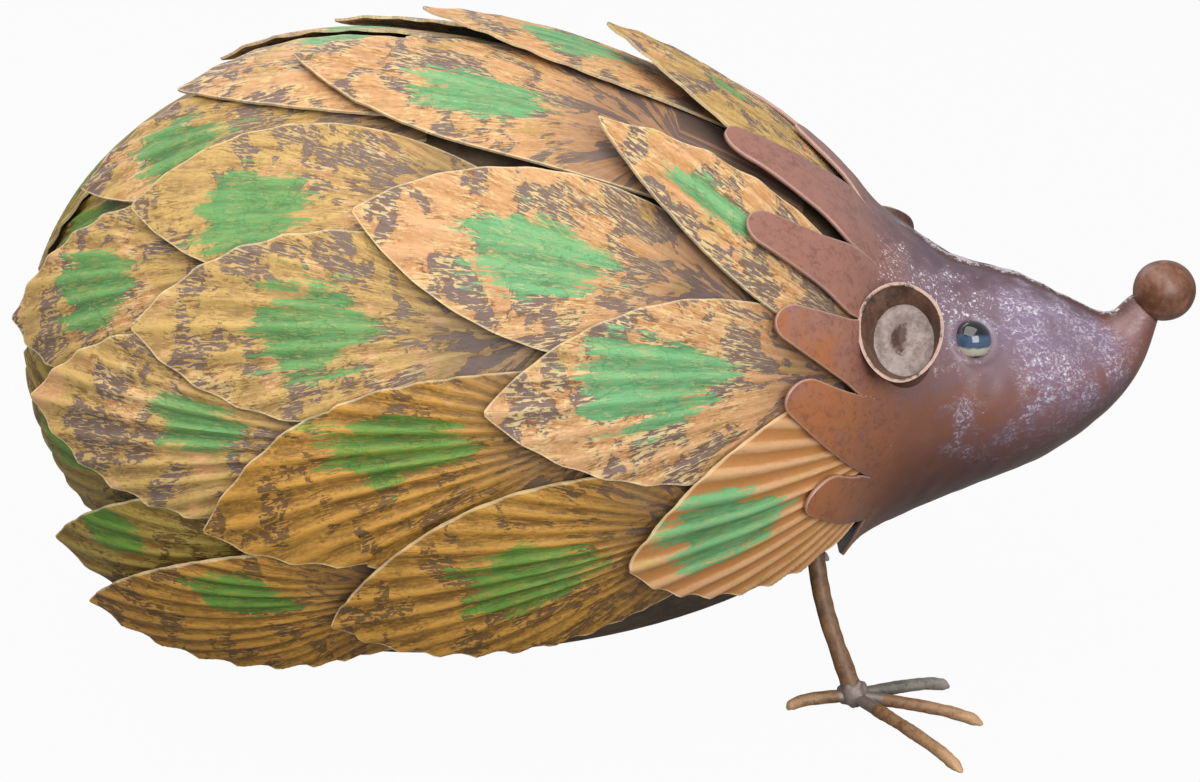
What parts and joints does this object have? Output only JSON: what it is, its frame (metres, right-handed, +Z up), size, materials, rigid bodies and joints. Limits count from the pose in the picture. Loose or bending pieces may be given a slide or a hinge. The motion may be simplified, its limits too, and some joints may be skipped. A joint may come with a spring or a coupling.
{
  "type": "hedgehog figurine",
  "caption": "Welded sheet-metal hedgehog ornament: hollow body under overlapping fluted leaf plates, pointed head with tongued collar, ball nose, cup ears and wire feet.",
  "frame": {"origin": "on the ground, under the middle of the figurine's outline box", "axes": "+X towards the nose, +Y to the animal's left, +Z up"},
  "size_m": [0.3504, 0.211, 0.1938],
  "materials": {
    "core_sheet": "matt dark brown",
    "leaf_paint": "dry-brushed ochre over grey-brown with green streaks",
    "head_paint": "semi-gloss copper brown, flaking",
    "nose_paint": "satin brown",
    "ear_paint": "pale grey-brown",
    "eye_glass": "dark glossy bead",
    "rod_paint": "rusty brown"
  },
  "bodies": {
    "root": {"core_right": "core_sheet", "core_left": "core_sheet", "belly_plate": "core_sheet", "right_collar_low": "leaf_paint", "left_collar_low": "leaf_paint", "right_collar_mid": "leaf_paint", "left_collar_mid": "leaf_paint", "right_collar_high": "leaf_paint", "left_collar_high": "leaf_paint", "right_shoulder_low": "leaf_paint", "left_shoulder_low": "leaf_paint", "right_shoulder_mid": "leaf_paint", "left_shoulder_mid": "leaf_paint", "right_shoulder_high": "leaf_paint", "left_shoulder_high": "leaf_paint", "right_shoulder_top": "leaf_paint", "left_shoulder_top": "leaf_paint", "right_flank_low": "leaf_paint", "left_flank_low": "leaf_paint", "right_flank_mid": "leaf_paint", "left_flank_mid": "leaf_paint", "right_flank_high": "leaf_paint", "left_flank_high": "leaf_paint", "right_flank_top": "leaf_paint", "left_flank_top": "leaf_paint", "right_rump_low": "leaf_paint", "left_rump_low": "leaf_paint", "right_rump_mid": "leaf_paint", "left_rump_mid": "leaf_paint", "right_rump_high": "leaf_paint", "left_rump_high": "leaf_paint", "right_rump_top": "leaf_paint", "left_rump_top": "leaf_paint", "right_tail_low": "leaf_paint", "left_tail_low": "leaf_paint", "right_tail_mid": "leaf_paint", "left_tail_mid": "leaf_paint", "right_tail_high": "leaf_paint", "left_tail_high": "leaf_paint", "crown_plate": "leaf_paint", "ridge_plate": "leaf_paint", "tail_plate": "leaf_paint", "head_shell": "head_paint", "nose_ball": "nose_paint", "right_ear_cup": "head_paint", "right_ear_disc": "ear_paint", "right_eye": "eye_glass", "right_leg": "rod_paint", "right_toe_outer": "rod_paint", "right_toe_middle": "rod_paint", "right_toe_inner": "rod_paint", "right_toe_hind": "rod_paint", "left_ear_cup": "head_paint", "left_ear_disc": "ear_paint", "left_eye": "eye_glass", "left_leg": "rod_paint", "left_toe_outer": "rod_paint", "left_toe_middle": "rod_paint", "left_toe_inner": "rod_paint", "left_toe_hind": "rod_paint"}
  },
  "joints": []
}
